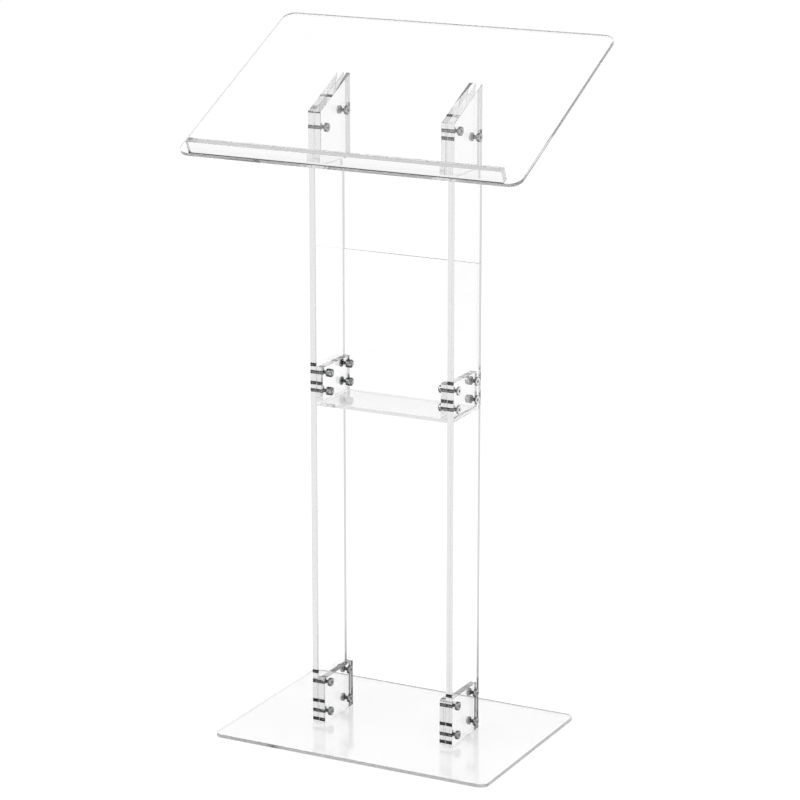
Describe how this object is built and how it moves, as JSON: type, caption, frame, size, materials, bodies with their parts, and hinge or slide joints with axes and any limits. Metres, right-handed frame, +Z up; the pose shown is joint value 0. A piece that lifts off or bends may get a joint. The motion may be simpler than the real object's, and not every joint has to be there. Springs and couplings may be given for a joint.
{
  "type": "presentation lectern",
  "caption": "Free-standing clear acrylic lectern: sloped reading plate with a paper lip on bolted upright boards, a middle shelf with a back panel, and a flat base plate.",
  "frame": {"origin": "centre of the base plate's underside, at floor level", "axes": "+Z up, +Y towards the audience, -Y towards the speaker, +X to the speaker's right"},
  "size_m": [0.6, 0.3758, 1.1586],
  "materials": {
    "base_acrylic": "clear cast acrylic, flame-polished edges",
    "board_acrylic": "clear cast acrylic, flame-polished edges",
    "tab_acrylic": "clear cast acrylic, flame-polished edges",
    "shelf_acrylic": "clear cast acrylic, flame-polished edges",
    "reading_acrylic": "clear cast acrylic, flame-polished edges",
    "bolt_steel": "bright chromed steel",
    "nut_steel": "bright chromed steel"
  },
  "bodies": {
    "root": {"back_panel": "shelf_acrylic", "base_plate": "base_acrylic", "base_tab_left": "tab_acrylic", "base_tab_right": "tab_acrylic", "bolt_base_left_back_high": "bolt_steel", "bolt_base_left_back_low": "bolt_steel", "bolt_base_left_front_high": "bolt_steel", "bolt_base_left_front_low": "bolt_steel", "bolt_base_right_back_high": "bolt_steel", "bolt_base_right_back_low": "bolt_steel", "bolt_base_right_front_high": "bolt_steel", "bolt_base_right_front_low": "bolt_steel", "bolt_shelf_left_back_high": "bolt_steel", "bolt_shelf_left_back_low": "bolt_steel", "bolt_shelf_left_front_high": "bolt_steel", "bolt_shelf_left_front_low": "bolt_steel", "bolt_shelf_right_back_high": "bolt_steel", "bolt_shelf_right_back_low": "bolt_steel", "bolt_shelf_right_front_high": "bolt_steel", "bolt_shelf_right_front_low": "bolt_steel", "bolt_top_left_back": "bolt_steel", "bolt_top_left_front": "bolt_steel", "bolt_top_right_back": "bolt_steel", "bolt_top_right_front": "bolt_steel", "nut_base_left_back_high": "nut_steel", "nut_base_left_back_low": "nut_steel", "nut_base_left_front_high": "nut_steel", "nut_base_left_front_low": "nut_steel", "nut_base_right_back_high": "nut_steel", "nut_base_right_back_low": "nut_steel", "nut_base_right_front_high": "nut_steel", "nut_base_right_front_low": "nut_steel", "nut_shelf_left_back_high": "nut_steel", "nut_shelf_left_back_low": "nut_steel", "nut_shelf_left_front_high": "nut_steel", "nut_shelf_left_front_low": "nut_steel", "nut_shelf_right_back_high": "nut_steel", "nut_shelf_right_back_low": "nut_steel", "nut_shelf_right_front_high": "nut_steel", "nut_shelf_right_front_low": "nut_steel", "nut_top_left_back": "nut_steel", "nut_top_left_front": "nut_steel", "nut_top_right_back": "nut_steel", "nut_top_right_front": "nut_steel", "paper_lip": "reading_acrylic", "post_left": "board_acrylic", "post_right": "board_acrylic", "reading_plate": "reading_acrylic", "shelf_plate": "shelf_acrylic", "shelf_tab_left": "tab_acrylic", "shelf_tab_right": "tab_acrylic", "top_tab_left": "tab_acrylic", "top_tab_right": "tab_acrylic"}
  },
  "joints": []
}
